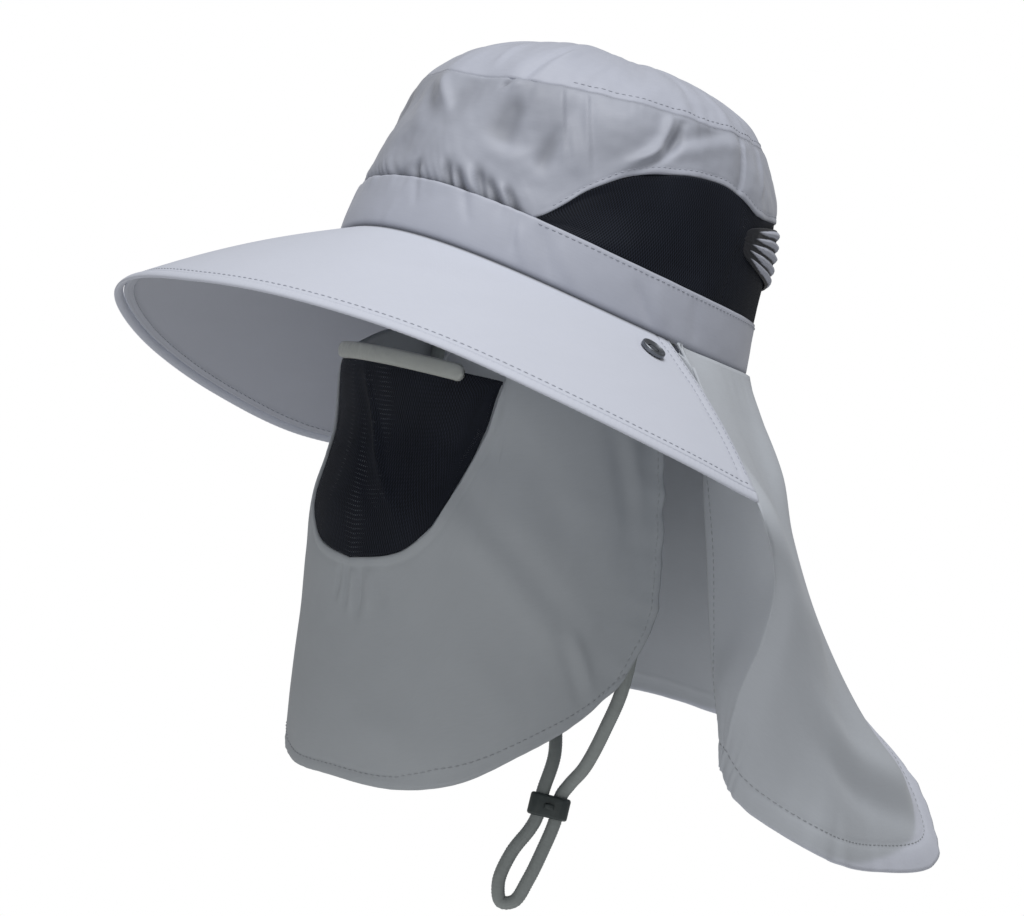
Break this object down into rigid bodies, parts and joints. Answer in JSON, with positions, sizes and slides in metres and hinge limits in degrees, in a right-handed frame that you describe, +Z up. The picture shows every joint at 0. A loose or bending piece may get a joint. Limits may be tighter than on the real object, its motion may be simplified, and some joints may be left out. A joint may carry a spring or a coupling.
{
  "type": "sun hat",
  "caption": "Sun hat with a stiff drooping brim, mesh side windows, long neck flap, face cover with a mesh nose vent, and a chin cord with slider.",
  "frame": {"origin": "centre of the headband's plane, level with its lower edge at the forehead, where the head comes to rest", "axes": "+Z up the hat's own axis, the wearer faces -Y, the wearer's left is +X"},
  "size_m": [0.3264, 0.3793, 0.3727],
  "materials": {
    "band_fabric": "plain weave",
    "crown_fabric": "plain weave",
    "brim_fabric": "smooth plain weave",
    "mesh": "open knit mesh",
    "flap_fabric": "fine plain weave",
    "mask_fabric": "fine knit",
    "trim_fabric": "satin tape",
    "cord": "braided",
    "slider_plastic": "moulded",
    "snap_metal": "dark plated"
  },
  "bodies": {
    "root": {"headband": "band_fabric", "crown_side": "crown_fabric", "crown_top": "crown_fabric", "mesh_left": "mesh", "mesh_back": "mesh", "mesh_right": "mesh", "back_gathers": "crown_fabric", "brim": "brim_fabric", "brim_binding": "brim_fabric", "snap_left": "snap_metal", "snap_right": "snap_metal", "neck_flap": "flap_fabric", "face_mask": "mask_fabric", "nose_vent": "mesh", "nose_trim": "trim_fabric", "chin_cord": "cord", "cord_slider": "slider_plastic"}
  },
  "joints": []
}
